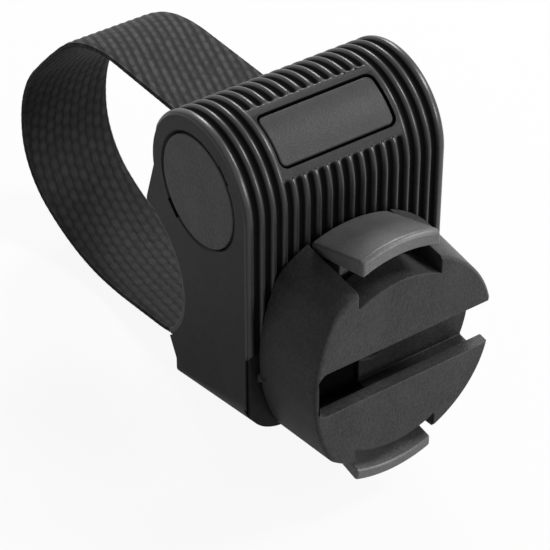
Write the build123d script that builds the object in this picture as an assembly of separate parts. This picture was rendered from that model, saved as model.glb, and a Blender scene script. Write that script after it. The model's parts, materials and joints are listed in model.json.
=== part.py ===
from build123d import *
import os
from math import asin, atan2, cos, degrees, hypot, radians, sin, sqrt, tan

# Strap-on lock bracket. Millimetres, +Z up, front is -Y.
# The origin is the centre of the bicycle tube that the saddle sits on.

# Tube, saddle and body
tube_diameter = 35.0
pad_thickness = 1.5
pad_setback = 0.4
body_width = 52.0
drum_radius = 17.8
drum_back = 25.0
drum_height = 32.2
saddle_top_angle = 114.0
saddle_bottom_angle = 230.0
foot_depth = 23.8
foot_back_round = 2.0
foot_front_round = 10.0
foot_tail = 5.6
heel_inset = 2.2
heel_top = 4.4
heel_bottom = 8.0
horn_reach = 4.8
horn_height = 19.4
horn_round = 0.5
end_bevel = 0.8

# Ribs and badge
rib_count = 18
groove_width = 2.2
groove_depth = 1.3
rib_start_angle = 24.0
badge_half_width = 15.0
badge_start_angle = 105.5
badge_end_angle = 148.0
badge_border = 2.0
badge_thickness = 0.9
badge_recess = 1.2
badge_gap = 0.45
badge_corner = 2.0

# Strap
strap_width = 25.0
strap_thickness = 1.8
strap_exit_drop = 1.3
strap_room = 0.8
slot_room = 0.5
loop_straight = 28.5
loop_back_radius = 35.1
loop_back_turn = 45.0
loop_slope = 19.6
loop_rear_radius = 28.6
loop_corner_radius = 19.5
loop_corner_turn = 60.0
loop_lower_radius = 52.9
loop_sag_radius = 93.0
loop_sag_turn = 7.0
loop_under = 14.0
loop_rise_radius = 30.0
loop_exit_radius = 4.0
tail_turn = 215.0
tail_length = 6.4
tail_room = 1.2
anchor_back = 21.5
anchor_drop = 15.5
anchor_pin_radius = 2.0
anchor_pin_wall = 5.0

# Spool, ratchet and cap
cap_radius = 12.9
cap_depth = 5.7
cap_thickness = 1.6
cap_recess_margin = 1.0
mouth_bevel = 0.8
grip_depth = 2.4
grip_width = 4.6
core_radius = 4.0
winding_radius = 5.9
slit_width = 2.2
ratchet_teeth = 12
ratchet_radius = 9.8
ratchet_root = 8.2
journal_length = 6.5
drive_radius = 5.0
drive_proud = 0.6
hex_key = 5.0
bearing_thickness = 2.0
bearing_height = 15.0
leaf_thickness = 0.5
leaf_foot_depth = 1.5

# Turning lock holder
holder_radius = 27.5
holder_draft = 5.0
holder_drop = 1.9
holder_length = 18.8
holder_side = 23.3
side_radius = 45.0
side_round = 8.0
rim_chamfer = 0.8
slot_height = 11.6
slot_depth = 10.2
slot_round = 2.0
wing_thickness = 3.3
channel_height = 19.0
slot_wall = 1.2
land_start = -3.5
land_height = 1.0
mark_drop = 5.0
mark_width = 2.4
mark_length = 2.2
mark_proud = 0.5
notch_radius = 22.1
notch_half_width = 10.8
back_plate_half_width = 9.0
back_plate_half_height = 20.0
back_plate_thickness = 2.0
washer_width = 16.0
washer_thickness = 0.5
bolt_radius = 2.5
bolt_head_radius = 4.4
bolt_head_height = 2.2
bolt_key = 3.0
bolt_key_depth = 1.6
nut_across_flats = 8.0
nut_height = 4.0
nut_sink = 1.1

# Release levers
lever_half_width = 10.0
lever_root_radius = 27.2
lever_root_thickness = 2.4
lever_curve_radius = 29.0
lip_chamfer = 1.0
upper_lever_tip_radius = 33.0
upper_lever_thickness = 3.9
lower_lever_tip_radius = 30.8
lower_lever_thickness = 3.4
lever_pivot_radius = 19.0
lever_pin_radius = 1.0
lever_pin_half_length = 12.0
lever_hub_radius = 2.7
lever_hub_half_width = 8.0
lever_neck_back = 1.0
spring_room = 2.2
spring_half_width = 3.0
spring_half_span = 2.7
spring_thickness = 0.4

# Clearances
free_gap = 0.3
running_gap = 0.08
seat_gap = 0.02
touch_gap = 0.1
past = 1.0

# Derived positions
half_width = body_width / 2
rib_pitch = body_width / rib_count
tube_radius = tube_diameter / 2
seat_radius = tube_radius + pad_thickness
drum_y = -drum_back
drum_z = drum_height
drum = (drum_y, drum_z)
front_y = drum_y - drum_radius
holder_z = -holder_drop
holder_y = front_y - holder_length
holder_back_y = front_y - washer_thickness
slot_floor_y = holder_y + slot_depth
front_side = holder_side - (holder_back_y - holder_y) * tan(radians(holder_draft))
back_plate_front_y = holder_back_y - back_plate_thickness
bore_radius = cap_radius + running_gap
bearing_x = -half_width + cap_depth
shoulder_x = bearing_x + bearing_thickness
ratchet_right = -strap_width / 2 - free_gap
ratchet_left = shoulder_x + free_gap
chamber_right = strap_width / 2 + 2 * free_gap
strap_z = drum_z - strap_exit_drop
slot_half = strap_thickness / 2 + slot_room
strap_side = strap_width / 2 + strap_room
wrap_radius = anchor_pin_radius + touch_gap + strap_thickness / 2
anchor = (-anchor_back, -anchor_drop)
lever_pivot_y = back_plate_front_y - lever_hub_radius - running_gap
lever_front_y = lever_pivot_y - lever_hub_radius
hub_pocket_y = lever_front_y - spring_room
hub_pocket_low = lever_pivot_radius - lever_hub_radius - free_gap
nut_front_y = -seat_radius - nut_height - nut_sink


def along_x(face, x_low, x_high):
    """A face drawn in (Y, Z), made solid from one X to another."""
    return extrude(Plane.YZ.offset(x_low) * face, x_high - x_low)


def along_y(face, y_front, y_back):
    """A face drawn in (X, Z), made solid from the front Y to the back Y."""
    return extrude(Plane.XZ.offset(-y_back) * face, y_back - y_front)


def block(x_low, x_high, y_low, y_high, z_low, z_high):
    size = Box(x_high - x_low, y_high - y_low, z_high - z_low, align=(Align.MIN,) * 3)
    return Pos(x_low, y_low, z_low) * size


def rod_x(centre, radius, x_low, x_high):
    return along_x(Pos(*centre) * Circle(radius), x_low, x_high)


def rod_y(radius, y_front, y_back, x=0.0, z=None):
    height = holder_z if z is None else z
    return along_y(Pos(x, height) * Circle(radius), y_front, y_back)


def polar(centre, radius, angle):
    return (centre[0] + radius * cos(radians(angle)), centre[1] + radius * sin(radians(angle)))


def sector(centre, inner, outer, start, end):
    """A ring sector in (Y, Z) between two radii and two angles."""
    middle = (start + end) / 2
    edges = [
        ThreePointArc(polar(centre, outer, start), polar(centre, outer, middle), polar(centre, outer, end)),
        Line(polar(centre, outer, end), polar(centre, inner, end)),
        ThreePointArc(polar(centre, inner, end), polar(centre, inner, middle), polar(centre, inner, start)),
        Line(polar(centre, inner, start), polar(centre, outer, start)),
    ]
    return make_face(edges)


# The strap's route is a chain of straight runs and arcs, each tangent to the one before.
class Route:
    def __init__(self, point, heading):
        self.points = [point]
        self.headings = [heading]
        self.bends = []

    def straight(self, length):
        self.points.append(polar(self.points[-1], length, self.headings[-1]))
        self.headings.append(self.headings[-1])
        self.bends.append(None)

    def arc(self, radius, turn):
        """Turn to the right for a positive angle and to the left for a negative one."""
        side = 1.0 if turn > 0 else -1.0
        centre = self.turning_centre(side * radius)
        heading = self.headings[-1] - turn
        self.points.append(polar(centre, side * radius, heading + 90.0))
        self.headings.append(heading)
        self.bends.append((centre, side * radius))

    def turning_centre(self, radius):
        return polar(self.points[-1], radius, self.headings[-1] - 90.0)

    def moved_point(self, index, distance):
        return polar(self.points[index], distance, self.headings[index] + 90.0)

    def edge(self, index, distance):
        """One run of the route, moved sideways to its left; arcs keep their centre."""
        start = self.moved_point(index, distance)
        end = self.moved_point(index + 1, distance)
        if self.bends[index] is None:
            return Line(start, end)
        centre, radius = self.bends[index]
        middle_heading = (self.headings[index] + self.headings[index + 1]) / 2
        return ThreePointArc(start, polar(centre, radius + distance, middle_heading + 90.0), end)

    def band(self, thickness):
        half = thickness / 2
        last = len(self.bends)
        outside = [self.edge(index, half) for index in range(last)]
        inside = [self.edge(index, -half) for index in range(last)]
        start_cap = Line(self.moved_point(0, half), self.moved_point(0, -half))
        end_cap = Line(self.moved_point(last, half), self.moved_point(last, -half))
        return make_face(outside + inside + [start_cap, end_cap])


def tangent_heading(first, first_radius, second, second_radius):
    """Heading of the run that leaves one right-hand circle and meets the next."""
    dy = second[0] - first[0]
    dz = second[1] - first[1]
    lean = degrees(asin((first_radius - second_radius) / hypot(dy, dz)))
    return degrees(atan2(dz, dy)) % 360.0 - lean


def tangent_length(first, first_radius, second, second_radius):
    span = hypot(second[0] - first[0], second[1] - first[1])
    return sqrt(span ** 2 - (first_radius - second_radius) ** 2)


def strap_route():
    off_winding = winding_radius + touch_gap + strap_thickness / 2
    exit_centre = (drum_y + bore_radius, strap_z + loop_exit_radius)
    # The run from the winding crosses to the exit bend, which turns the other way.
    heading = tangent_heading(drum, off_winding, exit_centre, -loop_exit_radius)
    if heading > 180.0:
        heading -= 360.0
    length = tangent_length(drum, off_winding, exit_centre, -loop_exit_radius)
    route = Route(polar(drum, off_winding, heading + 90.0), heading)
    route.straight(length)
    route.arc(loop_exit_radius, heading)
    route.straight(loop_straight - exit_centre[0])
    route.arc(loop_back_radius, loop_back_turn)
    route.straight(loop_slope)
    route.arc(loop_rear_radius, 90.0 - loop_back_turn)
    route.arc(loop_corner_radius, loop_corner_turn)
    route.arc(loop_lower_radius, 90.0 - loop_corner_turn)
    route.arc(loop_sag_radius, loop_sag_turn)
    route.straight(loop_under)
    rise_centre = route.turning_centre(loop_rise_radius)
    rise = tangent_heading(rise_centre, loop_rise_radius, anchor, wrap_radius)
    route.arc(loop_rise_radius, route.headings[-1] % 360.0 - rise)
    route.straight(tangent_length(rise_centre, loop_rise_radius, anchor, wrap_radius))
    foot_run = (route.points[-1], route.headings[-1])
    route.arc(wrap_radius, tail_turn)
    route.straight(tail_length)
    return route, foot_run


route, foot_run = strap_route()


# Housing
def housing_profile():
    lower_horn = polar((0, 0), seat_radius + 2 * free_gap, saddle_bottom_angle)
    drum_back_point = polar(drum, drum_radius, -13.0)
    outline = [
        (front_y, drum_z),
        (front_y, -foot_depth),
        (-anchor_back + foot_tail, -foot_depth),
        (lower_horn[0] - heel_inset, lower_horn[1] - heel_bottom),
        (lower_horn[0] - heel_inset, lower_horn[1] - heel_top),
        lower_horn,
        (-horn_reach, 0),
        (-horn_reach, horn_height),
        drum_back_point,
    ]
    profile = make_face(Polyline(*outline, close=True)) + Pos(*drum) * Circle(drum_radius)
    profile = profile - Circle(seat_radius + seat_gap)
    tips = [v for v in profile.vertices() if abs(v.Y - horn_height) < 1.5 and abs(v.X + horn_reach) < 1.0]
    return fillet(tips, horn_round)


def groove_section(x):
    """V-shaped groove between two ribs, drawn in (X, radius)."""
    half = groove_width / 2 * (1 + past / groove_depth)
    outer = drum_radius + past
    corners = [(x, drum_radius - groove_depth), (x + half, outer), (x - half, outer)]
    return make_face(Polyline(*corners, close=True))


def round_drum(section, start, end):
    """Sweep a section in (X, radius) round the drum from one angle to another."""
    normal = (0, -sin(radians(start)), cos(radians(start)))
    plane = Plane(origin=(0, drum_y, drum_z), x_dir=(1, 0, 0), z_dir=normal)
    return revolve(plane * section, Axis((0, drum_y, drum_z), (1, 0, 0)), end - start)


def down_front(section, z_low):
    plane = Plane(origin=(0, drum_y, drum_z), x_dir=(1, 0, 0), z_dir=(0, 0, -1))
    return extrude(plane * section, drum_z - z_low)


def foot_rounding(side):
    """Lower side edge of the foot, rounder towards the holder: the outside of a cone."""
    back_y = foot_tail - anchor_back
    growth = (foot_front_round - foot_back_round) / (back_y - front_y)
    tip_y = back_y + foot_back_round / growth
    tip = Vector(side * half_width, tip_y, -foot_depth)
    axis = Vector(-side * growth, -1, growth)
    length = 2 * (tip_y - front_y)
    radius = length * growth / sqrt(1 + growth**2)
    far_end = tip + axis.normalized() * length
    upright = (Align.CENTER, Align.CENTER, Align.MIN)
    cone = Plane(origin=far_end, z_dir=-axis) * Cone(radius, 0, length, align=upright)
    edge = side * half_width
    middle = side * (half_width - 2 * foot_front_round)
    corner = block(
        min(edge + side * past, middle),
        max(edge + side * past, middle),
        front_y - past,
        tip_y,
        -foot_depth - past,
        -foot_depth + 2 * foot_front_round,
    )
    tangents = Plane(origin=tip, z_dir=(side, -growth, -1))
    return split(corner, tangents, Keep.TOP) - cone


def rib_grooves():
    border_angle = degrees(badge_border / drum_radius)
    frame_start = badge_start_angle - border_angle
    frame_end = badge_end_angle + border_angle
    cuts = []
    for index in range(rib_count - 1):
        x = (index - (rib_count - 2) / 2) * rib_pitch
        section = groove_section(x)
        if abs(x) + groove_width / 2 > badge_half_width + badge_border:
            cuts.append(round_drum(section, rib_start_angle, 180.0))
        else:
            cuts.append(round_drum(section, rib_start_angle, frame_start))
            cuts.append(round_drum(section, frame_end, 180.0))
        cuts.append(down_front(section, holder_z))
    return cuts


def strap_passages():
    """Slot behind the drum, and the pocket for the sewn end round its pin."""
    slot = block(-strap_side, strap_side, drum_y, 0.0, strap_z - slot_half, strap_z + slot_half)
    pocket_radius = wrap_radius + strap_thickness / 2 + slot_room + strap_room
    pocket = rod_x(anchor, pocket_radius, -strap_side, strap_side)
    (y, z), heading = foot_run
    lower = strap_thickness / 2 + strap_room
    upper = wrap_radius + tail_room
    reach = foot_depth
    backwards = heading + 180.0
    corners = []
    for along, offset in ((0.0, -lower), (reach, -lower), (reach, upper), (0.0, upper)):
        corners.append(polar(polar((y, z), along, backwards), offset, backwards + 90.0))
    strip = along_x(make_face(Polyline(*corners, close=True)), -strap_side, strap_side)
    hole_start = -half_width + anchor_pin_wall
    pin_hole = rod_x(anchor, anchor_pin_radius + seat_gap, hole_start, half_width + past)
    return [slot, pocket, strip, pin_hole]


def spool_bores():
    """The cap's bore and the spool's chamber in one, the far bearing, and finger grips for the cap."""
    bore = rod_x(drum, bore_radius, -half_width - past, chamber_right)
    far_end = chamber_right + journal_length
    journal = rod_x(drum, core_radius + running_gap, chamber_right - past, far_end + free_gap)
    mouth = Pos(-half_width, drum_y, drum_z) * Rot(0, 90, 0)
    rise = (Align.CENTER, Align.CENTER, Align.MIN)
    mouth = mouth * Cone(bore_radius + mouth_bevel, bore_radius, mouth_bevel, align=rise)
    cuts = [bore, journal, mouth]
    for angle in (135.0, 315.0):
        grip = Pos(-half_width, drum_y, drum_z) * Rot(angle, 0, 0)
        cuts.append(grip * Pos(0, bore_radius, 0) * Box(grip_depth, grip_depth, grip_width))
    return cuts


def pawl_slot():
    """Cut in the chamber wall that holds the foot of the pawl leaf."""
    face = sector(drum, bore_radius - past, bore_radius + leaf_foot_depth + free_gap, 238.0, 242.5)
    return along_x(face, ratchet_left, ratchet_right)


def rounded_ends(body):
    """Bevel the ends of the drum and of the straight front below it."""
    ends = [e for e in body.edges() if abs(abs(e.center().X) - half_width) < touch_gap]
    front = [e for e in ends if e.center().Y < front_y + touch_gap]
    round_edges = [e for e in ends if e.geom_type == GeomType.CIRCLE]
    drum_edges = [e for e in round_edges if abs(e.radius - drum_radius) < touch_gap]
    return chamfer(front + drum_edges, end_bevel)


def badge_cut():
    face = sector(drum, drum_radius - badge_recess, drum_radius + past, badge_start_angle, badge_end_angle)
    cut = along_x(face, -badge_half_width, badge_half_width)
    depth = badge_recess + past
    return fillet([e for e in cut.edges() if abs(e.length - depth) < touch_gap], badge_corner)


def make_housing():
    body = along_x(housing_profile(), -half_width, half_width)
    body = rounded_ends(body)
    bolt_hole = rod_y(bolt_radius + free_gap, front_y - past, 0.0)
    nut_face = Pos(0, holder_z) * RegularPolygon(nut_across_flats / 2 + touch_gap, 6, major_radius=False)
    nut_pocket = along_y(nut_face, nut_front_y - touch_gap, 0.0)
    cuts = [bolt_hole, nut_pocket, badge_cut(), pawl_slot(), foot_rounding(-1), foot_rounding(1)]
    return body - (cuts + spool_bores() + strap_passages() + rib_grooves())


def make_badge():
    floor = drum_radius - badge_recess
    start = badge_start_angle + degrees(badge_gap / drum_radius)
    end = badge_end_angle - degrees(badge_gap / drum_radius)
    face = sector(drum, floor, floor + badge_thickness, start, end)
    plate = along_x(face, -badge_half_width + badge_gap, badge_half_width - badge_gap)
    corners = plate.edges().filter_by(lambda e: e.length < badge_thickness + touch_gap)
    return fillet(corners, badge_corner - badge_gap)


def make_saddle_pad():
    face = sector((0, 0), tube_radius, seat_radius, saddle_top_angle, saddle_bottom_angle)
    return along_x(face, -half_width + pad_setback, half_width - pad_setback)


def make_strap():
    return along_x(route.band(strap_thickness), -strap_width / 2, strap_width / 2)


def make_anchor_pin():
    left = -half_width + anchor_pin_wall + free_gap
    return rod_x(anchor, anchor_pin_radius, left, half_width - 2 * free_gap)


# Spool and ratchet
def make_spool():
    """Shaft that the strap winds on; its near end is the drive that passes the bearing plate."""
    shaft = rod_x(drum, core_radius, ratchet_right, chamber_right + journal_length)
    drive = rod_x(drum, drive_radius, bearing_x - drive_proud, ratchet_right)
    half_slit = slit_width / 2
    slit = block(
        -strap_width / 2,
        strap_width / 2,
        drum_y - core_radius,
        drum_y + core_radius,
        drum_z - half_slit,
        drum_z + half_slit,
    )
    key = Pos(*drum) * RegularPolygon(hex_key / 2, 6, major_radius=False)
    socket = along_x(key, bearing_x - past, shoulder_x + bearing_thickness)
    return shaft + drive - slit - socket


def make_ratchet():
    pitch = 360.0 / ratchet_teeth
    corners = []
    for tooth in range(ratchet_teeth):
        corners.append(polar(drum, ratchet_root, tooth * pitch))
        corners.append(polar(drum, ratchet_radius, tooth * pitch + 0.5))
    wheel = make_face(Polyline(*corners, close=True)) - Pos(*drum) * Circle(drive_radius)
    return along_x(wheel, ratchet_left, ratchet_right)


def make_winding():
    ring = Pos(*drum) * (Circle(winding_radius) - Circle(core_radius))
    return along_x(ring, -strap_width / 2, strap_width / 2)


def make_pawl_leaf():
    """Spring strip along the chamber wall; its tip stops the ratchet from turning back."""
    outer = bore_radius - touch_gap
    inner = outer - leaf_thickness
    leaf = sector(drum, inner, outer, 239.0, 310.0)
    foot = sector(drum, outer - leaf_thickness / 2, bore_radius + leaf_foot_depth, 239.0, 241.5)
    tip_corners = [
        polar(drum, inner, 309.8),
        polar(drum, outer - seat_gap, 309.8),
        polar(drum, ratchet_root + 2 * leaf_thickness, 329.2),
        polar(drum, ratchet_root + leaf_thickness, 328.0),
    ]
    tip = make_face(Polyline(*tip_corners, close=True))
    return along_x(leaf + foot + tip, ratchet_left + free_gap, ratchet_right - free_gap)


def make_bearing_plate():
    """Bridge across the bore that carries the near end of the spool."""
    half_height = bearing_height / 2
    plate = rod_x(drum, bore_radius - seat_gap, bearing_x, shoulder_x)
    bar = block(
        bearing_x,
        shoulder_x,
        drum_y - bore_radius,
        drum_y + bore_radius,
        drum_z - half_height,
        drum_z + half_height,
    )
    return (plate & bar) - rod_x(drum, drive_radius + running_gap, bearing_x - past, shoulder_x + past)


def make_side_cap():
    face_x = -half_width
    cap = rod_x(drum, cap_radius, face_x, bearing_x - free_gap)
    return cap - rod_x(drum, drive_radius + cap_recess_margin, face_x + cap_thickness, bearing_x)


# Turning lock holder
def turned(shapes, side):
    """Shapes drawn above the holder's axis, put in place there or turned to below it."""
    turn = Rot(0, 0, 0) if side > 0 else Rot(0, 180, 0)
    return [Pos(0, 0, holder_z) * turn * shape for shape in shapes]


def lever_pocket(side):
    """Room for one release lever: a notch through the rim, a hub pocket and holes for its pin."""
    outside = 2 * holder_radius
    strip = Rectangle(2 * notch_half_width, outside, align=(Align.CENTER, Align.MIN))
    notch = along_y(strip - Circle(notch_radius), holder_y - past, holder_back_y + past)
    room = lever_hub_half_width + free_gap
    hub = block(-room, room, hub_pocket_y, back_plate_front_y, hub_pocket_low, notch_radius + past)
    pin_reach = lever_pin_half_length + free_gap
    pin = rod_x((lever_pivot_y, lever_pivot_radius), lever_pin_radius + seat_gap, -pin_reach, pin_reach)
    return turned((notch, hub, pin), side)


def holder_profile():
    """Section of the barrel at its root: round, but flatter where the slot is closed."""
    spread = side_radius - holder_side
    to_main = holder_radius - side_round
    to_side = side_radius - side_round
    blend_x = (to_main**2 + spread**2 - to_side**2) / (2 * spread)
    blend_z = sqrt(to_main**2 - blend_x**2)
    main_angle = degrees(atan2(blend_z, blend_x))
    side_angle = degrees(atan2(blend_z, blend_x - spread))
    main = CenterArc((0, holder_z), holder_radius, -main_angle, 2 * main_angle)
    side = CenterArc((spread, holder_z), side_radius, side_angle, 2 * (180 - side_angle))
    over = CenterArc((blend_x, holder_z + blend_z), side_round, main_angle, side_angle - main_angle)
    under = CenterArc((blend_x, holder_z - blend_z), side_round, -side_angle, side_angle - main_angle)
    return make_face([main, over, side, under])


def make_holder():
    length = holder_back_y - holder_y
    barrel = extrude(Plane.XZ.offset(-holder_back_y) * holder_profile(), length, taper=holder_draft)
    rim = [e for e in barrel.edges() if abs(e.center().Y - holder_y) < touch_gap]
    barrel = chamfer(rim, rim_chamfer)
    slot_start = -front_side + slot_wall
    beyond = 2 * holder_radius
    half_slot = slot_height / 2
    half_channel = channel_height / 2
    slot_low = holder_z - half_slot
    neck = block(slot_start, beyond, holder_y - past, slot_floor_y, slot_low, slot_low + slot_height)
    ends = [e for e in neck.edges().filter_by(Axis.Y) if e.center().X < slot_start + touch_gap]
    neck = fillet(ends, slot_round)
    channel = block(
        slot_start + slot_round,
        beyond,
        holder_y + wing_thickness,
        slot_floor_y,
        holder_z - half_channel,
        holder_z + half_channel,
    )
    half_plate = back_plate_half_width + running_gap
    plate_reach = back_plate_half_height + running_gap
    rear = block(
        -half_plate,
        half_plate,
        back_plate_front_y,
        holder_back_y + past,
        holder_z - plate_reach,
        holder_z + plate_reach,
    )
    bolt = rod_y(bolt_radius + running_gap, slot_floor_y - past, holder_back_y)
    head_seat_y = slot_floor_y + touch_gap + bolt_head_height
    head = rod_y(bolt_head_radius + free_gap, slot_floor_y - past, head_seat_y)
    holder = barrel - ([neck, channel, rear, bolt, head] + lever_pocket(1) + lever_pocket(-1))
    land = block(
        land_start,
        holder_radius,
        slot_floor_y - land_height,
        slot_floor_y,
        holder_z - half_channel,
        holder_z + half_channel,
    )
    return holder + index_mark() + ((land & barrel) - head)


def index_mark():
    """Small pointed mark at the barrel's root, on its flatter side."""
    middle_z = holder_z - mark_drop
    points = [
        (holder_back_y - mark_length, middle_z),
        (holder_back_y, middle_z - mark_width / 2),
        (holder_back_y, middle_z + mark_width / 2),
    ]
    face = make_face(Polyline(points, close=True))
    return along_x(face, -holder_side - mark_proud, -front_side)


def make_back_plate():
    plate = block(
        -back_plate_half_width,
        back_plate_half_width,
        back_plate_front_y,
        holder_back_y,
        holder_z - back_plate_half_height,
        holder_z + back_plate_half_height,
    )
    return plate - rod_y(bolt_radius + running_gap, back_plate_front_y - past, holder_back_y + past)


def tab_shell(root, tip, radius, back_y):
    """Round bar that rises from the root to the tip, as far as the front of the holder and past it."""
    length = hypot(back_y - holder_y, tip - root)
    heading = (0, holder_y - back_y, tip - root)
    plane = Plane(origin=(0, back_y, root), x_dir=(1, 0, 0), z_dir=heading)
    circle = Pos(0, -radius) * Circle(radius)
    return extrude(plane * circle, 2 * length) + extrude(plane * circle, -length)


def make_lever(tip_radius, thickness, side):
    """Flared tab outside the rim, on a hub that turns on its pin."""
    tab_back_y = holder_back_y - free_gap
    outer = tab_shell(lever_root_radius, tip_radius, lever_curve_radius, tab_back_y)
    inner_root = lever_root_radius - lever_root_thickness
    inner_curve = lever_curve_radius - lever_root_thickness
    inner = tab_shell(inner_root, tip_radius - thickness, inner_curve, tab_back_y)
    above = 2 * tip_radius
    strip = block(-lever_half_width, lever_half_width, holder_y, tab_back_y, 0.0, above)
    tab = (outer & strip) - inner
    front = [e for e in tab.edges() if abs(e.center().Y - holder_y) < touch_gap]
    lip = max(front, key=lambda e: e.center().Z)
    tab = chamfer(lip, lip_chamfer)
    pivot = (lever_pivot_y, lever_pivot_radius)
    hub = rod_x(pivot, lever_hub_radius, -lever_hub_half_width, lever_hub_half_width)
    neck = block(
        -lever_hub_half_width,
        lever_hub_half_width,
        lever_front_y,
        lever_pivot_y + lever_neck_back,
        lever_pivot_radius,
        lever_root_radius - lever_root_thickness / 4,
    )
    bore = rod_x(pivot, lever_pin_radius + running_gap, -lever_half_width, lever_half_width)
    return turned([tab + hub + neck - bore], side)[0]


def make_lever_pin(side):
    centre = (lever_pivot_y, holder_z + side * lever_pivot_radius)
    return rod_x(centre, lever_pin_radius, -lever_pin_half_length, lever_pin_half_length)


def make_lever_spring(side):
    """Bowed leaf between the front wall of the hub pocket and the lever, which it pushes outwards."""
    base = hub_pocket_y + seat_gap
    crest = lever_front_y - touch_gap
    low = lever_pivot_radius - spring_half_span
    high = lever_pivot_radius + spring_half_span
    outside = ThreePointArc((base, low), (crest, lever_pivot_radius), (base, high))
    inner_low = (base, low + spring_thickness)
    inner_high = (base, high - spring_thickness)
    inside = ThreePointArc(inner_low, (crest - spring_thickness, lever_pivot_radius), inner_high)
    ends = [Line((base, low), inner_low), Line((base, high), inner_high)]
    leaf = along_x(make_face([outside, inside] + ends), -spring_half_width, spring_half_width)
    return turned([leaf], side)[0]


def make_bolt():
    head_front = slot_floor_y + touch_gap
    head_back = head_front + bolt_head_height
    head = rod_y(bolt_head_radius, head_front, head_back)
    shank = rod_y(bolt_radius, head_back - past, -seat_radius - nut_sink + touch_gap)
    key_face = Pos(0, holder_z) * RegularPolygon(bolt_key / 2, 6, major_radius=False)
    key = along_y(key_face, slot_floor_y - past, slot_floor_y + bolt_key_depth)
    return shank + head - key


def make_nut():
    face = Pos(0, holder_z) * RegularPolygon(nut_across_flats / 2, 6, major_radius=False)
    face = face - Pos(0, holder_z) * Circle(bolt_radius)
    return along_y(face, nut_front_y, nut_front_y + nut_height)


def make_washer():
    square = Rectangle(washer_width, washer_width) - Circle(bolt_radius + free_gap)
    return along_y(Pos(0, holder_z) * square, holder_back_y, front_y)


pieces = {
    "housing": make_housing(),
    "badge_plate": make_badge(),
    "saddle_pad": make_saddle_pad(),
    "strap": make_strap(),
    "anchor_pin": make_anchor_pin(),
    "bearing_plate": make_bearing_plate(),
    "pawl_leaf": make_pawl_leaf(),
    "pivot_bolt": make_bolt(),
    "pivot_nut": make_nut(),
    "friction_washer": make_washer(),
    "spool": make_spool(),
    "ratchet_wheel": make_ratchet(),
    "strap_winding": make_winding(),
    "side_cap": make_side_cap(),
    "holder_body": make_holder(),
    "holder_back_plate": make_back_plate(),
    "upper_lever": make_lever(upper_lever_tip_radius, upper_lever_thickness, 1),
    "lower_lever": make_lever(lower_lever_tip_radius, lower_lever_thickness, -1),
    "upper_lever_pin": make_lever_pin(1),
    "lower_lever_pin": make_lever_pin(-1),
    "upper_lever_spring": make_lever_spring(1),
    "lower_lever_spring": make_lever_spring(-1),
}

os.makedirs("parts", exist_ok=True)
for name, shape in pieces.items():
    export_step(shape, os.path.join("parts", name + ".step"))
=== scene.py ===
import json
from math import cos, floor, pi, radians, sin, sqrt

import bpy
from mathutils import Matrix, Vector
from mathutils.geometry import intersect_point_line


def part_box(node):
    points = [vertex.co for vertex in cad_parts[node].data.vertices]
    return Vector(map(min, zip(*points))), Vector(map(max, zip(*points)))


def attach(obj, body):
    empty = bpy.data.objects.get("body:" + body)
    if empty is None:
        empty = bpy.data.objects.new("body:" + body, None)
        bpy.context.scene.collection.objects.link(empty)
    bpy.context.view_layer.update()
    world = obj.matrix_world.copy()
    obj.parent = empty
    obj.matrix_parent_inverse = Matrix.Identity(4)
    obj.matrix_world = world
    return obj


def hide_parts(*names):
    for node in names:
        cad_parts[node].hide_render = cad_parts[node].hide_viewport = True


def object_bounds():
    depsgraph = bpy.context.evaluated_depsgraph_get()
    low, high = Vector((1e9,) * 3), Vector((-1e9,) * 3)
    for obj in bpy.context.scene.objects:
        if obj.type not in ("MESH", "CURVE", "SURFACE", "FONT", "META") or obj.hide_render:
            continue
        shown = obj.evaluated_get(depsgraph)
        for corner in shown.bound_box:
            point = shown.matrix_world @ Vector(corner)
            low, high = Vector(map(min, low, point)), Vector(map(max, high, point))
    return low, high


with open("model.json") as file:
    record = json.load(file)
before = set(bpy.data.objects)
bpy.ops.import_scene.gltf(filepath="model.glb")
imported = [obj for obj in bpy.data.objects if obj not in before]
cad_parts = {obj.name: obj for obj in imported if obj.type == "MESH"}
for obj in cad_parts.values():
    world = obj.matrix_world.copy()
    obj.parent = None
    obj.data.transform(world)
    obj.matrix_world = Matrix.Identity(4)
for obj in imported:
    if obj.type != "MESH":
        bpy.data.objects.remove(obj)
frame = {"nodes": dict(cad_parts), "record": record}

cad_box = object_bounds()
nodes = frame["nodes"]
record = frame["record"]
scene = bpy.context.scene
MM = 0.001


# Places and sizes of the solids that the looks follow, read from the frame, in millimetres
def joint_place(name):
    joint = next(j for j in record["behaviour"]["joints"] if j["name"] == name)
    return [round(v / MM, 3) for v in joint["pos_m"]]


def solid_box(name):
    return [[round(v / MM, 3) for v in corner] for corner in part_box(name)]


housing_low, housing_high = solid_box("housing")
BODY_WIDTH = housing_high[0] - housing_low[0]
DRUM_Y, DRUM_Z = joint_place("spool_turn")[1:]
DRUM_RADIUS = round(DRUM_Y - housing_low[1], 3)
HOLDER_FRONT = solid_box("holder_body")[0][1]
HOLDER_Z = joint_place("holder_turn")[2]


# Camera, fitted to the photograph's perspective
def add_camera():
    azimuth = radians(35.34)
    elevation = radians(37.49)
    distance = 525.15 * MM
    target = Vector((-6.1, -25.0, 1.58)) * MM
    level = cos(elevation)
    back = Vector((-sin(azimuth) * level, -cos(azimuth) * level, sin(elevation)))
    data = bpy.data.cameras.new("camera")
    data.lens = 155.95
    data.sensor_width = 36.0
    data.clip_start = 0.01
    data.clip_end = 20.0
    camera = bpy.data.objects.new("camera", data)
    camera.location = target + back * distance
    camera.rotation_euler = (-back).to_track_quat("-Z", "Y").to_euler()
    scene.collection.objects.link(camera)
    scene.camera = camera


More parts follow.
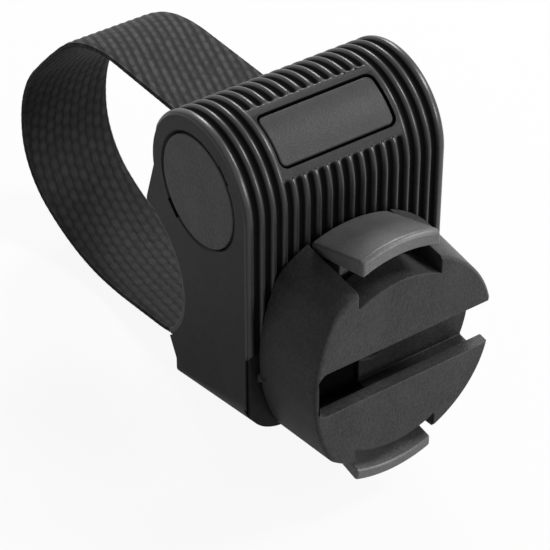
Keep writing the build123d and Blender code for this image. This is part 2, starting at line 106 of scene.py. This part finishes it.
# Helpers for meshes and shader nodes
def add_object(name, verts, faces, smooth):
    mesh = bpy.data.meshes.new(name)
    mesh.from_pydata(verts, [], faces)
    mesh.validate()
    for polygon in mesh.polygons:
        polygon.use_smooth = smooth
    mesh.update()
    obj = bpy.data.objects.new(name, mesh)
    scene.collection.objects.link(obj)
    return obj


def feed(tree, socket, value):
    """Link a socket to an output, or set it to a plain value."""
    if hasattr(value, "is_linked"):
        tree.links.new(value, socket)
    else:
        socket.default_value = value


def math_node(tree, operation, first, second=None):
    node = tree.nodes.new("ShaderNodeMath")
    node.operation = operation
    feed(tree, node.inputs[0], first)
    if second is not None:
        feed(tree, node.inputs[1], second)
    return node.outputs[0]


def range_node(tree, value, low, high, to_low, to_high):
    node = tree.nodes.new("ShaderNodeMapRange")
    sockets = ("Value", "From Min", "From Max", "To Min", "To Max")
    for socket, given in zip(sockets, (value, low, high, to_low, to_high)):
        feed(tree, node.inputs[socket], given)
    return node.outputs["Result"]


# Studio: pale floor, soft lamps, white surroundings
WHITE = (1, 1, 1, 1)
FLOOR_GREY = (0.65, 0.65, 0.65, 1)
FLOOR_ROUGHNESS = 0.95
FLOOR_HALF = 4.0
FLOOR_GAP = 0.002
FLOOR_IN_GLOSS = 0.2
# Share of plain white on the floor, near and far, and the distances in metres between which it grows
FLOOR_WHITE = (0.92, 1.0)
SHADOW_REACH = (0.08, 0.55)
SURROUNDING_LIGHT = 0.16
# Name, place, aim, diameter in metres, power in watts
LAMPS = (
    ("key", (0.70, -0.32, 0.74), (0, -0.03, 0), 0.30, 8.0),
    ("front", (0.46, -0.82, 0.34), (0, -0.03, 0), 0.30, 4.8),
    ("back", (0.44, 0.62, 0.62), (0, -0.02, 0.02), 0.36, 6.0),
)


def clear_of_object(tree):
    """Share of plain white on the floor: less near the object, where its shadow lies."""
    length = tree.nodes.new("ShaderNodeVectorMath")
    length.operation = "LENGTH"
    feed(tree, length.inputs[0], tree.nodes.new("ShaderNodeNewGeometry").outputs["Position"])
    return range_node(tree, length.outputs["Value"], *SHADOW_REACH, *FLOOR_WHITE)


def seen_white(tree, shaded, white, mirrored, direct=None):
    """Seen by the camera, through glass or in a gloss, a share of a surface's light is white."""
    path = tree.nodes.new("ShaderNodeLightPath").outputs
    through = math_node(tree, "MAXIMUM", path["Is Camera Ray"], path["Is Transmission Ray"])
    if direct:
        through = math_node(tree, "MULTIPLY", through, direct)
    in_gloss = math_node(tree, "MULTIPLY", path["Is Glossy Ray"], mirrored)
    mix = tree.nodes.new("ShaderNodeMixShader")
    feed(tree, mix.inputs[0], math_node(tree, "MAXIMUM", through, in_gloss))
    feed(tree, mix.inputs[1], shaded)
    feed(tree, mix.inputs[2], white)
    return mix.outputs[0]


def add_floor():
    z = cad_box[0][2] - FLOOR_GAP
    corners = [(x * FLOOR_HALF, y * FLOOR_HALF, z) for x, y in ((-1, -1), (1, -1), (1, 1), (-1, 1))]
    ground = add_object("floor", corners, [(0, 1, 2, 3)], smooth=False)
    material = bpy.data.materials.new("floor_white")
    material.use_nodes = True
    tree = material.node_tree
    bsdf = tree.nodes["Principled BSDF"]
    bsdf.inputs["Base Color"].default_value = FLOOR_GREY
    bsdf.inputs["Roughness"].default_value = FLOOR_ROUGHNESS
    white = tree.nodes.new("ShaderNodeEmission")
    white.inputs["Color"].default_value = WHITE
    white.inputs["Strength"].default_value = 1.0
    clear = clear_of_object(tree)
    seen = seen_white(tree, bsdf.outputs[0], white.outputs[0], FLOOR_IN_GLOSS, clear)
    feed(tree, tree.nodes["Material Output"].inputs["Surface"], seen)
    ground.data.materials.append(material)


def add_surroundings():
    world = bpy.data.worlds.new("world")
    scene.world = world
    world.use_nodes = True
    tree = world.node_tree
    dim = tree.nodes["Background"]
    bright = tree.nodes.new("ShaderNodeBackground")
    for background, strength in ((dim, SURROUNDING_LIGHT), (bright, 1.0)):
        background.inputs["Color"].default_value = WHITE
        background.inputs["Strength"].default_value = strength
    seen = seen_white(tree, dim.outputs[0], bright.outputs[0], 1.0)
    feed(tree, tree.nodes["World Output"].inputs["Surface"], seen)


def add_lamp(name, place, aim, diameter, power):
    data = bpy.data.lights.new(name, "AREA")
    data.shape = "DISK"
    data.size = diameter
    data.energy = power
    lamp = bpy.data.objects.new(name, data)
    lamp.location = place
    lamp.rotation_euler = (Vector(place) - Vector(aim)).to_track_quat("Z", "Y").to_euler()
    scene.collection.objects.link(lamp)


# Materials
class Look:
    """A node material on the Principled shader, in object space, which is the part's frame."""

    def __init__(self, name):
        self.material = bpy.data.materials.new(name)
        self.material.use_nodes = True
        self.tree = self.material.node_tree
        self.bsdf = self.tree.nodes["Principled BSDF"]
        self.place = self.tree.nodes.new("ShaderNodeTexCoord").outputs["Object"]

    def give(self, socket, value):
        """Feed one of the shader's own sockets."""
        feed(self.tree, self.bsdf.inputs[socket], value)

    def node(self, kind, **settings):
        node = self.tree.nodes.new(kind)
        for key, value in settings.items():
            setattr(node, key, value)
        return node

    def link(self, source, target):
        self.tree.links.new(source, target)

    def axes(self):
        node = self.node("ShaderNodeSeparateXYZ")
        self.link(self.place, node.inputs[0])
        return node.outputs

    def attribute(self, name):
        return self.node("ShaderNodeAttribute", attribute_name=name).outputs["Fac"]

    def noise(self, scale, detail=3.0, rough=0.55, stretch=None):
        source = self.place
        if stretch:
            mapping = self.node("ShaderNodeMapping")
            mapping.inputs["Scale"].default_value = stretch
            self.link(source, mapping.inputs["Vector"])
            source = mapping.outputs["Vector"]
        noise = self.node("ShaderNodeTexNoise")
        noise.inputs["Scale"].default_value = scale
        noise.inputs["Detail"].default_value = detail
        noise.inputs["Roughness"].default_value = rough
        self.link(source, noise.inputs["Vector"])
        return noise.outputs["Fac"]

    def ramp(self, value, stops):
        ramp = self.node("ShaderNodeValToRGB")
        elements = ramp.color_ramp.elements
        while len(elements) < len(stops):
            elements.new(0.5)
        for element, (where, shade) in zip(elements, stops):
            colour = shade if hasattr(shade, "__len__") else (shade, shade, shade)
            element.position = where
            element.color = (*colour, 1)
        self.link(value, ramp.inputs["Fac"])
        return ramp.outputs["Color"]

    def remap(self, value, low, high, to_low, to_high):
        return range_node(self.tree, value, low, high, to_low, to_high)

    def math(self, operation, first, second=None):
        return math_node(self.tree, operation, first, second)

    def product(self, first, *others):
        for other in others:
            first = self.math("MULTIPLY", first, other)
        return first

    def mix(self, factor, linked, plain):
        """From a linked colour to a plain one."""
        node = self.node("ShaderNodeMix", data_type="RGBA")
        self.link(factor, node.inputs["Factor"])
        first, second = [s for s in node.inputs if s.type == "RGBA"]
        self.link(linked, first)
        second.default_value = (*plain, 1)
        return [s for s in node.outputs if s.type == "RGBA"][0]

    def bump(self, height, distance, strength=1.0, under=None):
        node = self.node("ShaderNodeBump")
        node.inputs["Distance"].default_value = distance
        node.inputs["Strength"].default_value = strength
        self.link(height, node.inputs["Height"])
        if under:
            self.link(under, node.inputs["Normal"])
        return node.outputs["Normal"]


def tinted(colour, by):
    return tuple(c * by for c in colour)


# Painted shade in the grooves between the ribs, darker deeper down
def groove_shade(look):
    """Painted shade: from 0 on top of the ribs to 1 deep between them, over the drum and down its
    front.
    """
    shade_start, shade_full, groove_floor = 0.02 * MM, 0.46 * MM, 1.6 * MM
    side_margin = 0.2 * MM
    x, y, z = look.axes()
    ahead = look.math("SUBTRACT", y, DRUM_Y * MM)
    above = look.math("MAXIMUM", look.math("SUBTRACT", z, DRUM_Z * MM), 0.0)
    squares = look.math("ADD", look.product(ahead, ahead), look.product(above, above))
    depth = look.math("SUBTRACT", DRUM_RADIUS * MM, look.math("SQRT", squares))
    shade = look.remap(depth, shade_start, shade_full, 0.0, 1.0)
    in_groove = look.math("LESS_THAN", depth, groove_floor)
    half_width = BODY_WIDTH / 2 * MM - side_margin
    inside = look.math("LESS_THAN", look.math("ABSOLUTE", x), half_width)
    return look.product(shade, in_groove, inside)


def slot_shade(look):
    """Painted shade: from 0 at the holder's front to 1 deep in its slot, weaker on the land at the
    right, where light falls in at the open end.
    """
    shade_start, shade_full = (HOLDER_FRONT + 1.1) * MM, (HOLDER_FRONT + 7.6) * MM
    half_height, closed_end = 9.7 * MM, -20.2 * MM
    # Less painted shade on the land, standing in for the light that falls in at the slot's open end
    land_start, land_relief = -3.6 * MM, 0.7
    x, y, z = look.axes()
    deep = look.remap(y, shade_start, shade_full, 0.0, 1.0)
    level = look.math("ABSOLUTE", look.math("SUBTRACT", z, HOLDER_Z * MM))
    within = look.math("LESS_THAN", level, half_height)
    inside = look.math("GREATER_THAN", x, closed_end)
    on_land = look.math("GREATER_THAN", x, land_start)
    share = look.math("SUBTRACT", 1.0, look.product(on_land, land_relief))
    return look.product(share, deep, within, inside)


# Moulded plastic: sizes of mottle and patches to the metre, and tones beside the plastic's own, the
# last of them the tone of painted shade
MOTTLE_GRAIN, PATCH_GRAIN = 140.0, 320.0
SPECKLE_TO_GRAIN = 0.7
MOTTLE_SHARE, SPECKLE_SHARE = 0.4, 0.6
DARK_TONE, LIGHT_TONE, PAINTED_SHADE_TONE = 0.76, 1.24, 0.08
# Roughness and gloss where shade is painted in
PAINTED_SHADE_ROUGHNESS, PAINTED_SHADE_GLOSS = 0.9, 0.25


def moulded(name, colour, roughness, grain, grain_depth, gloss=0.5, painted_shade=None):
    """Injection-moulded plastic: spark-eroded grain, faint flow mottling, and painted shade where a
    shade mask is given.
    """
    look = Look(name)
    mottle = look.product(look.noise(MOTTLE_GRAIN, 4.0), MOTTLE_SHARE)
    speckle = look.product(look.noise(SPECKLE_TO_GRAIN * grain, 2.0, 0.6), SPECKLE_SHARE)
    dark, light = tinted(colour, DARK_TONE), tinted(colour, LIGHT_TONE)
    base = look.ramp(look.math("ADD", mottle, speckle), [(0.36, dark), (0.64, light)])
    patch = look.noise(PATCH_GRAIN, 4.0)
    rough = look.remap(patch, 0.3, 0.7, roughness - 0.015, roughness + 0.02)
    look.give("Specular IOR Level", gloss)
    # Painted shade: darker colour, rougher and less glossy where the mask is high
    if painted_shade:
        shade = painted_shade(look)
        base = look.mix(shade, base, tinted(colour, PAINTED_SHADE_TONE))
        rough = look.math("MAXIMUM", rough, look.product(shade, PAINTED_SHADE_ROUGHNESS))
        shine = look.remap(shade, 0.0, 1.0, gloss, PAINTED_SHADE_GLOSS * gloss)
        look.give("Specular IOR Level", shine)
    look.give("Base Color", base)
    look.give("Roughness", rough)
    look.give("Normal", look.bump(look.noise(grain, 2.0, 0.6), grain_depth))
    return look.material


def steel(name):
    """Brushed steel, drawn out along X."""
    look = Look(name)
    brushed = look.noise(700.0, 4.0, 0.6, stretch=(0.08, 1.0, 1.0))
    look.give("Base Color", look.ramp(brushed, [(0.3, 0.36), (0.7, 0.56)]))
    look.give("Roughness", look.remap(brushed, 0.3, 0.7, 0.26, 0.44))
    look.give("Metallic", 1.0)
    look.give("Normal", look.bump(brushed, 0.01 * MM))
    return look.material


def rubber(name, colour):
    """Matt rubber with a little dust."""
    look = Look(name)
    dust = look.noise(260.0, 5.0)
    look.give("Base Color", look.ramp(dust, [(0.35, colour), (0.75, tinted(colour, 1.3))]))
    look.give("Roughness", look.remap(dust, 0.3, 0.7, 0.62, 0.82))
    look.give("Specular IOR Level", 0.35)
    look.give("Normal", look.bump(look.noise(3200.0, 2.0), 0.03 * MM))
    return look.material


def webbing(name):
    """Black woven strap: tone from the mesh's own weave, with painted shade in its low yarn and
    painted light on its high yarn, filament lines along the yarn, sheen.
    """
    look = Look(name)
    yarn = look.ramp(look.attribute("weave"), [(0.10, 0.001), (0.45, 0.010), (0.95, 0.050)])
    fuzz = look.noise(1500.0, 3.0)
    fuzzy = look.remap(fuzz, 0.35, 0.75, 0.0, 0.3)
    look.give("Base Color", look.mix(fuzzy, yarn, (0.02, 0.02, 0.021)))
    look.give("Roughness", look.remap(fuzz, 0.3, 0.7, 0.55, 0.72))
    look.give("Specular IOR Level", 0.10)
    look.give("Sheen Weight", 0.03)
    look.give("Sheen Roughness", 0.45)
    lines = look.bump(look.math("SINE", look.attribute("filament")), 0.03 * MM, 0.3)
    look.give("Normal", look.bump(fuzz, 0.04 * MM, 0.6, under=lines))
    return look.material


# Colour, roughness, grain to the metre, grain's depth, and where they differ gloss and a
# painted-shade mask
PLASTICS = {
    "housing_black": ((0.011, 0.011, 0.0114), 0.40, 2600.0, 0.05 * MM, 0.13, groove_shade),
    # The rib crowns take a lighter copy of the housing's plastic: painted light on the ribs
    "housing_ribs_lit_copy": ((0.023, 0.023, 0.0235), 0.33, 2600.0, 0.02 * MM, 0.46, groove_shade),
    "badge_grey": ((0.023, 0.023, 0.024), 0.46, 3000.0, 0.08 * MM, 0.24),
    "cap_grey": ((0.070, 0.070, 0.071), 0.60, 1700.0, 0.26 * MM, 0.25),
    "holder_grey": ((0.041, 0.041, 0.042), 0.38, 2000.0, 0.12 * MM, 0.10, slot_shade),
    "lever_grey": ((0.105, 0.105, 0.108), 0.40, 2600.0, 0.06 * MM, 0.4),
    "inner_plastic": ((0.05, 0.05, 0.05), 0.5, 2400.0, 0.03 * MM),
}
# Grey of the saddle pad: the rubber's own grey, made lighter as a painted highlight along the pad's
# edge
RUBBER_GREY_AND_GLINT = (0.075, 0.075, 0.077)


def make_looks():
    """All materials by the record's slots, and a lighter copy of the housing's plastic for the rib
    crowns, which paints light on them.
    """
    looks = {name: moulded(name, *values) for name, values in PLASTICS.items()}
    looks["webbing"] = webbing("webbing")
    looks["saddle_rubber"] = rubber("saddle_rubber", RUBBER_GREY_AND_GLINT)
    looks["steel"] = steel("steel")
    return looks


# Strap: the CAD strap's own section gives the route, and the weave is modelled on it
SAME_PLACE = 1e-6
SHARP_CORNER = radians(60)
ROUTE_STEP = 2.5 * MM
CURVE_PIECES = 8
BOW, BOW_MIDDLE, BOW_REACH = 1.5 * MM, 88.0 * MM, 34.0 * MM


def side_outline(mesh):
    """Points in (Y, Z) round the flat left side of a solid, in order."""
    side = min(v.co.x for v in mesh.vertices)
    place = {v.index: (round(v.co.y, 6), round(v.co.z, 6)) for v in mesh.vertices}
    uses = {}
    for polygon in mesh.polygons:
        if all(abs(mesh.vertices[i].co.x - side) < SAME_PLACE for i in polygon.vertices):
            ring = [place[i] for i in polygon.vertices]
            for ends in zip(ring, ring[1:] + ring[:1]):
                edge = tuple(sorted(ends))
                uses[edge] = uses.get(edge, 0) + 1
    joined = {}
    for (a, b), count in uses.items():
        if count == 1:
            joined.setdefault(a, []).append(b)
            joined.setdefault(b, []).append(a)
    start = min(joined)
    outline = []
    previous, here = None, start
    while not outline or here != start:
        outline.append(here)
        previous, here = here, next(p for p in joined[here] if p != previous)
    return [Vector((y, z, 0.0)) for y, z in outline]


def nearest(point, line):
    """The place on a line of straight stretches that is nearest to a point."""
    feet = []
    for a, b in zip(line, line[1:]):
        share = intersect_point_line(point, a, b)[1]
        feet.append(a.lerp(b, min(1.0, max(0.0, share))))
    return min(feet, key=lambda foot: (foot - point).length)


def strap_centre_line():
    """Middle line of the CAD strap in (Y, Z), from the spool to the anchor pin."""
    points = side_outline(nodes["strap"].data)
    total = len(points)

    def turn(index):
        before = points[index] - points[index - 1]
        after = points[(index + 1) % total] - points[index]
        return before.angle(after)

    def stretch(first, last):
        return [points[(first + k) % total] for k in range((last - first) % total + 1)]

    corners = [i for i in range(total) if turn(i) > SHARP_CORNER]
    first_end, second_end = [i for i in corners if (i + 1) % total in corners][:2]
    one_face = stretch(first_end + 1, second_end)
    other_face = stretch(second_end + 1, first_end)[::-1]
    middle = [(point + nearest(point, other_face)) / 2 for point in one_face]
    if middle[0].y < 0:
        middle.reverse()
    dense = [middle[0]]
    for a, b in zip(middle, middle[1:]):
        steps = max(1, round((b - a).length / ROUTE_STEP))
        dense.extend(a.lerp(b, k / steps) for k in range(1, steps + 1))
    return dense


def heading(points, k):
    """The way a line heads at one of its points."""
    last = len(points) - 1
    return (points[min(k + 1, last)] - points[max(k - 1, 0)]).normalized()


def bowed(points):
    """The route with a slight outward bow on its upper rear stretch, as slack webbing has."""
    along = 0.0
    line = []
    for k, point in enumerate(points):
        along += (point - points[max(k - 1, 0)]).length
        way = heading(points, k)
        share = min(1.0, abs(along - BOW_MIDDLE) / BOW_REACH)
        line.append(point + Vector((-way.y, way.x, 0.0)) * BOW * (1 - share * share) ** 2)
    return line


def curve_point(p0, p1, p2, p3, t):
    """Point of the Catmull-Rom curve between p1 and p2."""
    straight = 2 * p1 + (p2 - p0) * t
    bend = (2 * p0 - 5 * p1 + 4 * p2 - p3) * t * t
    sway = (3 * p1 - p0 - 3 * p2 + p3) * t ** 3
    return 0.5 * (straight + bend + sway)


def smooth_line(points, spacing):
    """Even steps along a smooth curve through the points, the way it heads at each, its length."""
    last = len(points) - 1
    fine = []
    for i in range(last):
        around = [points[min(max(n, 0), last)] for n in range(i - 1, i + 3)]
        fine.extend(curve_point(*around, k / CURVE_PIECES) for k in range(CURVE_PIECES))
    fine.append(points[-1])
    reach = [0.0]
    for a, b in zip(fine, fine[1:]):
        reach.append(reach[-1] + (b - a).length)
    count = round(reach[-1] / spacing)
    line = []
    j = 0
    for k in range(count + 1):
        s = reach[-1] * k / count
        while j < len(fine) - 2 and reach[j + 1] < s:
            j += 1
        span = reach[j + 1] - reach[j]
        line.append(fine[j].lerp(fine[j + 1], (s - reach[j]) / span if span else 0.0))
    ways = [heading(line, k) for k in range(count + 1)]
    return line, ways, reach[-1]


# Weave: each pattern gives a height from 0 to 1, the place across the yarn, and a float's own value
def uneven(column, row):
    """A fixed value from 0 to 1 for each float of the weave, so that no two look alike."""
    value = sin(12.9898 * column + 78.233 * row) * 43758.5453
    return value - floor(value)


def twill(across, along):
    """Outer face: slanting rows of yarn that swell at every float."""
    pitch, slant, float_length = 2.1 * MM, 0.33, 3.4 * MM
    column = (across - slant * along) / pitch
    index = floor(column)
    x = column - index - 0.5
    place = along / float_length + 0.5 * (index % 2) + 0.16 * sin(2.3 * index)
    swell = 0.5 + 0.5 * cos(2 * pi * place)
    height = cos(pi * x) ** 1.6 * (0.62 + 0.38 * swell)
    return height, x, uneven(index, round(place))


def basket(across, along):
    """Inner face: broad flat floats set like bricks."""
    pitch, slant, float_length = 2.3 * MM, -0.12, 3.6 * MM
    column = (across - slant * along) / pitch
    index = floor(column)
    x = column - index - 0.5
    place = along / float_length + 0.5 * (index % 2) + 0.12 * sin(1.7 * index)
    t = place - floor(place) - 0.5
    height = sqrt(max(0.0, 1 - 3.0 * x * x - 3.2 * t * t))
    return height, x, uneven(index, floor(place))


# Side, relief, pattern, tone of the lowest yarn, rise in tone to the highest as painted shade and
# light on the weave's relief, unevenness of tone
STRAP_FACES = (
    (1, 0.17 * MM, twill, 0.0, 1.05, 0.25),
    (-1, 0.16 * MM, basket, 0.15, 0.38, 0.09),
)
STRAP_STEP = 0.55 * MM
STRAP_CELLS = 84
STRAP_HALF = 0.66 * MM
# Beside the selvedges the strap is thinner and its weave flatter
EDGE_FADE = 1.2 * MM
EDGE_THICKNESS, EDGE_RELIEF = 0.8, 0.35
FILAMENTS = 6 * pi
SELVEDGE = 0.55 * MM
STITCH_LENGTH, STITCH_SWELL = 2.15 * MM, 0.05 * MM
# Stitches lighter where they swell out: painted light on the selvedge's bumps
STITCH_TONE, STITCH_LIGHT_RISE = 0.4, 0.5


class Cloth:
    """Points of the strap with their tone and filament phase, and the faces between them."""

    def __init__(self):
        self.verts = []
        self.weave = []
        self.filament = []
        self.faces = []

    def point(self, place, tone, phase):
        self.verts.append(place)
        self.weave.append(tone)
        self.filament.append(phase)
        return len(self.verts) - 1

    def strip(self, first, second, upright):
        for j in range(len(first) - 1):
            quad = (first[j], first[j + 1], second[j + 1], second[j])
            self.faces.append(quad if upright else quad[::-1])


def make_strap():
    low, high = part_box("strap")
    width = high[0] - low[0]
    middle = (high[0] + low[0]) / 2
    flat = width - 2 * SELVEDGE
    line, ways, length = smooth_line(bowed(strap_centre_line()), STRAP_STEP)
    step = length / (len(line) - 1)
    cloth = Cloth()
    rows = {}
    for side, relief, pattern, tone_low, height_shade_rise, spread in STRAP_FACES:
        rows[side] = []
        for k, (point, way) in enumerate(zip(line, ways)):
            out_y, out_z = -way.y * side, way.x * side
            row = []
            for j in range(STRAP_CELLS + 1):
                u = flat * j / STRAP_CELLS
                height, x, own = pattern(u, k * step)
                fade = min(1.0, min(u, flat - u) / EDGE_FADE)
                thickness = STRAP_HALF * (EDGE_THICKNESS + (1 - EDGE_THICKNESS) * fade)
                offset = thickness + relief * height * (EDGE_RELIEF + (1 - EDGE_RELIEF) * fade)
                place = (middle - flat / 2 + u, point.x + out_y * offset, point.y + out_z * offset)
                # Tone rises with the yarn's height, as painted shade low in the weave and painted
                # light on top, with a random unevenness per float
                tone = (tone_low + height_shade_rise * height) * (1 + spread * (2 * own - 1))
                row.append(cloth.point(place, tone, x * FILAMENTS))
            rows[side].append(row)
        for first, second in zip(rows[side], rows[side][1:]):
            cloth.strip(first, second, side > 0)
    rims = []
    for sign, column in ((-1, 0), (1, -1)):
        rim = []
        for k, point in enumerate(line):
            stitch = 0.5 + 0.5 * cos(2 * pi * k * step / STITCH_LENGTH)
            x = middle + sign * (width / 2 - STITCH_SWELL + STITCH_SWELL * stitch)
            # Painted light: the stitch's tone rises with its swell
            tone = STITCH_TONE + STITCH_LIGHT_RISE * stitch
            rim.append(cloth.point((x, point.x, point.y), tone, 0.0))
        for side in (1, -1):
            cloth.strip([row[column] for row in rows[side]], rim, side * sign > 0)
        rims.append(rim)
    for k, upright in ((0, True), (len(line) - 1, False)):
        ring = [rims[0][k]] + rows[1][k] + [rims[1][k]] + rows[-1][k][::-1]
        cloth.faces.append(tuple(ring if upright else ring[::-1]))
    strap = add_object("woven_strap", cloth.verts, cloth.faces, smooth=True)
    for name, values in (("weave", cloth.weave), ("filament", cloth.filament)):
        layer = strap.data.attributes.new(name, "FLOAT", "POINT")
        layer.data.foreach_set("value", values)
    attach(strap, "bracket")
    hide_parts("strap")
    return strap


# Ribs: rounded crowns and grooves laid over the housing's ribs, in millimetres until the mesh is made
RIB_COUNT = 18
RIB_PITCH = BODY_WIDTH / RIB_COUNT
RIB_COLUMNS = 14 * RIB_COUNT
LAST_GROOVE = RIB_COUNT // 2 - 1
GROOVE_HALF, GROOVE_DEPTH = 1.35, 1.15
# Angles round the drum, from the back over the top to the front
RIB_START, FRAME_START, FRAME_END, RIB_FRONT = 24.0, 99.06, 154.44, 180.0
FRAME_HALF = 15.6
FRAME_BLEND = (-0.5, 0.3)
DRUM_STEPS, FRONT_STEPS = 130, 48
END_RUN, FRAME_RUN = 1.5, 1.3
SKIN_SUNK, SKIN_RISE = -0.06, 0.22
CORNER_WIDTH, CORNER_DROP = 1.4, 0.92
LEAST_SHOWN = 0.02


def ease(value, low, high):
    t = min(1.0, max(0.0, (value - low) / (high - low)))
    return t * t * (3 - 2 * t)


def drum_arc(angle):
    """Distance over the drum from the ribs' start to an angle in degrees."""
    return DRUM_RADIUS * radians(angle - RIB_START)


def rib_path():
    """Stations over the drum and down the front to the holder's middle height.

    Each is a point, its outward direction and the distance along the rib.
    """
    path = []
    for k in range(DRUM_STEPS + 1):
        angle = RIB_START + (RIB_FRONT - RIB_START) * k / DRUM_STEPS
        out_y, out_z = cos(radians(angle)), sin(radians(angle))
        y, z = DRUM_Y + DRUM_RADIUS * out_y, DRUM_Z + DRUM_RADIUS * out_z
        path.append((y, z, out_y, out_z, drum_arc(angle)))
    for k in range(1, FRONT_STEPS + 1):
        fall = (DRUM_Z - HOLDER_Z) * k / FRONT_STEPS
        path.append((DRUM_Y - DRUM_RADIUS, DRUM_Z - fall, -1.0, 0.0, drum_arc(RIB_FRONT) + fall))
    return path


def rib_height(x, along, total):
    """Height of the rounded ribs over the solid's surface, and how far they show there, 0 to 1."""
    groove = min(LAST_GROOVE, max(-LAST_GROOVE, round(x / RIB_PITCH))) * RIB_PITCH
    ends = ease(along, 0.0, END_RUN) * ease(total - along, 0.0, END_RUN)
    behind_frame = ease(drum_arc(FRAME_START) - along, 0.0, FRAME_RUN)
    before_frame = ease(along - drum_arc(FRAME_END), 0.0, FRAME_RUN)
    outside = max(behind_frame, before_frame)
    cut = ends * (1.0 if abs(groove) > FRAME_HALF else outside)
    across = abs(x - groove) / GROOVE_HALF
    depth = GROOVE_DEPTH * (0.5 + 0.5 * cos(pi * across)) * cut if across < 1 else 0.0
    beside = ease(abs(x) - FRAME_HALF, *FRAME_BLEND)
    shown = ends * max(outside, beside)
    corner = max(0.0, abs(x) - (BODY_WIDTH / 2 - CORNER_WIDTH)) / CORNER_WIDTH
    rounding = CORNER_DROP * (1 - sqrt(max(0.0, 1 - corner * corner)))
    return SKIN_SUNK + SKIN_RISE * shown - depth - rounding, shown


def make_ribs():
    path = rib_path()
    total = path[-1][-1]
    verts = []
    shows = []
    for y, z, out_y, out_z, along in path:
        for j in range(RIB_COLUMNS + 1):
            x = -BODY_WIDTH / 2 + BODY_WIDTH * j / RIB_COLUMNS
            height, shown = rib_height(x, along, total)
            verts.append((x * MM, (y + out_y * height) * MM, (z + out_z * height) * MM))
            shows.append(shown > LEAST_SHOWN)
    row = RIB_COLUMNS + 1
    faces = []
    for k in range(len(path) - 1):
        for corner in range(k * row, k * row + RIB_COLUMNS):
            quad = (corner, corner + row, corner + row + 1, corner + 1)
            if any(shows[i] for i in quad):
                faces.append(quad)
    ribs = add_object("rib_crowns", verts, faces, smooth=True)
    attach(ribs, "bracket")
    return ribs


# Rounded edges on the moulded solids, without touching their meshes
def soften(name, width, segments=3, angle=32.0, clamp=False, flat=0.0):
    """Round a solid's edges by a width in millimetres, after joining its flat faces if asked."""
    obj = nodes[name]
    weld = obj.modifiers.new("weld", "WELD")
    weld.merge_threshold = 0.002 * MM
    if flat:
        dissolve = obj.modifiers.new("flat", "DECIMATE")
        dissolve.decimate_type = "DISSOLVE"
        dissolve.angle_limit = radians(flat)
    bevel = obj.modifiers.new("bevel", "BEVEL")
    bevel.limit_method = "ANGLE"
    bevel.angle_limit = radians(angle)
    bevel.width = width * MM
    bevel.segments = segments
    bevel.use_clamp_overlap = clamp
    bevel.loop_slide = False
    bevel.miter_outer = "MITER_ARC"
    normals = obj.modifiers.new("normals", "WEIGHTED_NORMAL")
    normals.keep_sharp = False
    normals.weight = 100


add_camera()
add_floor()
add_surroundings()
for lamp in LAMPS:
    add_lamp(*lamp)

looks = make_looks()
for subpart in record["subparts"]:
    materials = nodes[subpart["node"]].data.materials
    materials.clear()
    materials.append(looks[subpart["material_slot"]])
make_strap().data.materials.append(looks["webbing"])
make_ribs().data.materials.append(looks["housing_ribs_lit_copy"])

soften("housing", 0.42, clamp=True)
soften("badge_plate", 0.45)
soften("side_cap", 0.25)
soften("holder_body", 0.3, angle=60.0, flat=0.6)
soften("upper_lever", 0.5, segments=4, flat=0.6)
soften("lower_lever", 0.5, segments=4, flat=0.6)
soften("saddle_pad", 0.3)

scene.view_settings.view_transform = "Standard"
